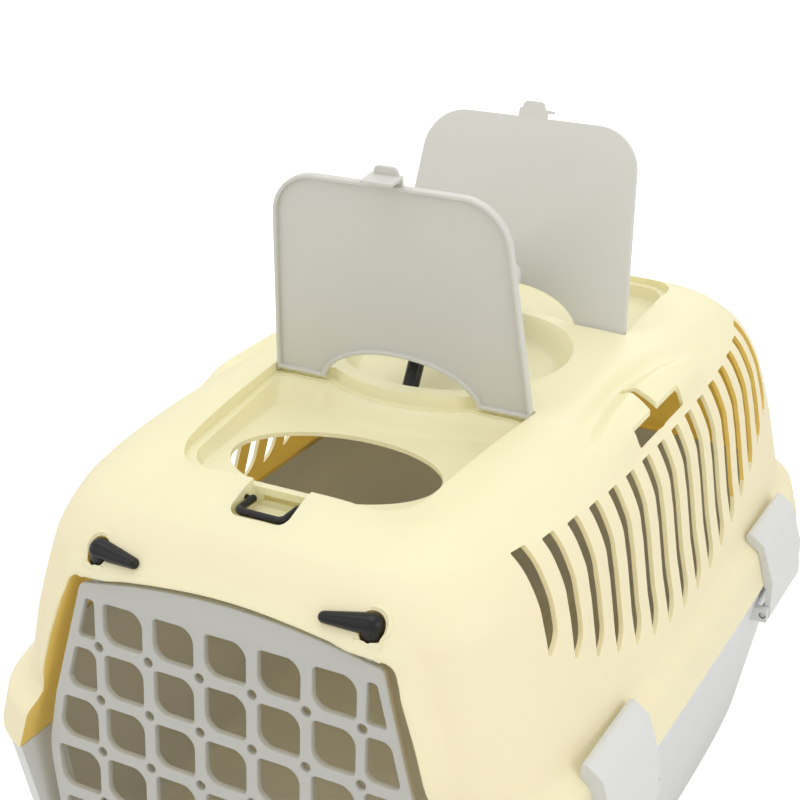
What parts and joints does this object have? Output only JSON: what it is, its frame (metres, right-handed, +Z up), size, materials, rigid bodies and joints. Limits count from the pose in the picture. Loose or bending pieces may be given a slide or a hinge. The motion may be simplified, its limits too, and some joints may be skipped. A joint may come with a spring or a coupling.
{
  "type": "pet carrier",
  "caption": "Moulded plastic pet carrier with a slotted roof shell over a tapered base, a lattice door with turning levers, hinged roof flaps, a carrying handle and side clips",
  "frame": {"origin": "centre of the bounding box's bottom face, on the floor the carrier stands on", "axes": "+Z up, -Y towards the door, +X to the right of someone who faces the door; the flaps stand open and the door is closed"},
  "size_m": [0.364, 0.521, 0.4319],
  "materials": {
    "shell": "satin pastel yellow moulded plastic",
    "grey": "satin light warm grey moulded plastic",
    "black": "smooth black plastic",
    "steel": "zinc-plated steel"
  },
  "bodies": {
    "shell": {"top_shell": "shell", "base_shell": "grey", "handle_grip": "grey", "handle_rod": "black", "handle_washer_front": "steel", "handle_washer_rear": "steel", "handle_nut_front": "steel", "handle_nut_rear": "steel"},
    "door": {"door": "grey"},
    "lever_left": {"door_lever_left": "black", "door_pin_left": "black"},
    "lever_right": {"door_lever_right": "black", "door_pin_right": "black"},
    "flap_front": {"flap_front": "grey"},
    "flap_rear": {"flap_rear": "grey"},
    "strap_ring_front": {"strap_ring_front": "black"},
    "strap_ring_rear": {"strap_ring_rear": "black"},
    "clip_front_left": {"clip_front_left": "grey"},
    "clip_front_right": {"clip_front_right": "grey"},
    "clip_rear_left": {"clip_rear_left": "grey"},
    "clip_rear_right": {"clip_rear_right": "grey"}
  },
  "joints": [
    {"name": "door_hinge", "type": "hinge", "parent": "shell", "child": "door", "pos_m": [-0.0785, -0.2374, 0.248], "axis": [0, -0.061, -0.9981], "range_deg": [0, 110]},
    {"name": "lever_left_turn", "type": "hinge", "parent": "shell", "child": "lever_left", "pos_m": [-0.0785, -0.2374, 0.248], "axis": [0, -0.061, -0.9981], "range_deg": [0, 90]},
    {"name": "lever_right_turn", "type": "hinge", "parent": "shell", "child": "lever_right", "pos_m": [0.0785, -0.2374, 0.248], "axis": [0, 0.061, 0.9981], "range_deg": [0, 90]},
    {"name": "flap_front_hinge", "type": "hinge", "parent": "shell", "child": "flap_front", "pos_m": [0, -0.0625, 0.29775], "axis": [1, 0, 0], "range_deg": [-14, 85.4]},
    {"name": "flap_rear_hinge", "type": "hinge", "parent": "shell", "child": "flap_rear", "pos_m": [0, 0.0765, 0.29775], "axis": [-1, 0, 0], "range_deg": [-23, 76.4]},
    {"name": "strap_ring_front_pivot", "type": "hinge", "parent": "shell", "child": "strap_ring_front", "pos_m": [0, -0.1955, 0.286], "axis": [-1, 0, 0], "range_deg": [0, 100]},
    {"name": "strap_ring_rear_pivot", "type": "hinge", "parent": "shell", "child": "strap_ring_rear", "pos_m": [0, 0.2095, 0.286], "axis": [1, 0, 0], "range_deg": [0, 100]},
    {"name": "clip_front_left_hinge", "type": "hinge", "parent": "shell", "child": "clip_front_left", "pos_m": [-0.1786, -0.145, 0.121], "axis": [0, -1, 0], "range_deg": [0, 60]},
    {"name": "clip_front_right_hinge", "type": "hinge", "parent": "shell", "child": "clip_front_right", "pos_m": [0.1786, -0.145, 0.121], "axis": [0, 1, 0], "range_deg": [0, 60]},
    {"name": "clip_rear_left_hinge", "type": "hinge", "parent": "shell", "child": "clip_rear_left", "pos_m": [-0.1786, 0.129, 0.121], "axis": [0, -1, 0], "range_deg": [0, 60]},
    {"name": "clip_rear_right_hinge", "type": "hinge", "parent": "shell", "child": "clip_rear_right", "pos_m": [0.1786, 0.129, 0.121], "axis": [0, 1, 0], "range_deg": [0, 60]}
  ]
}
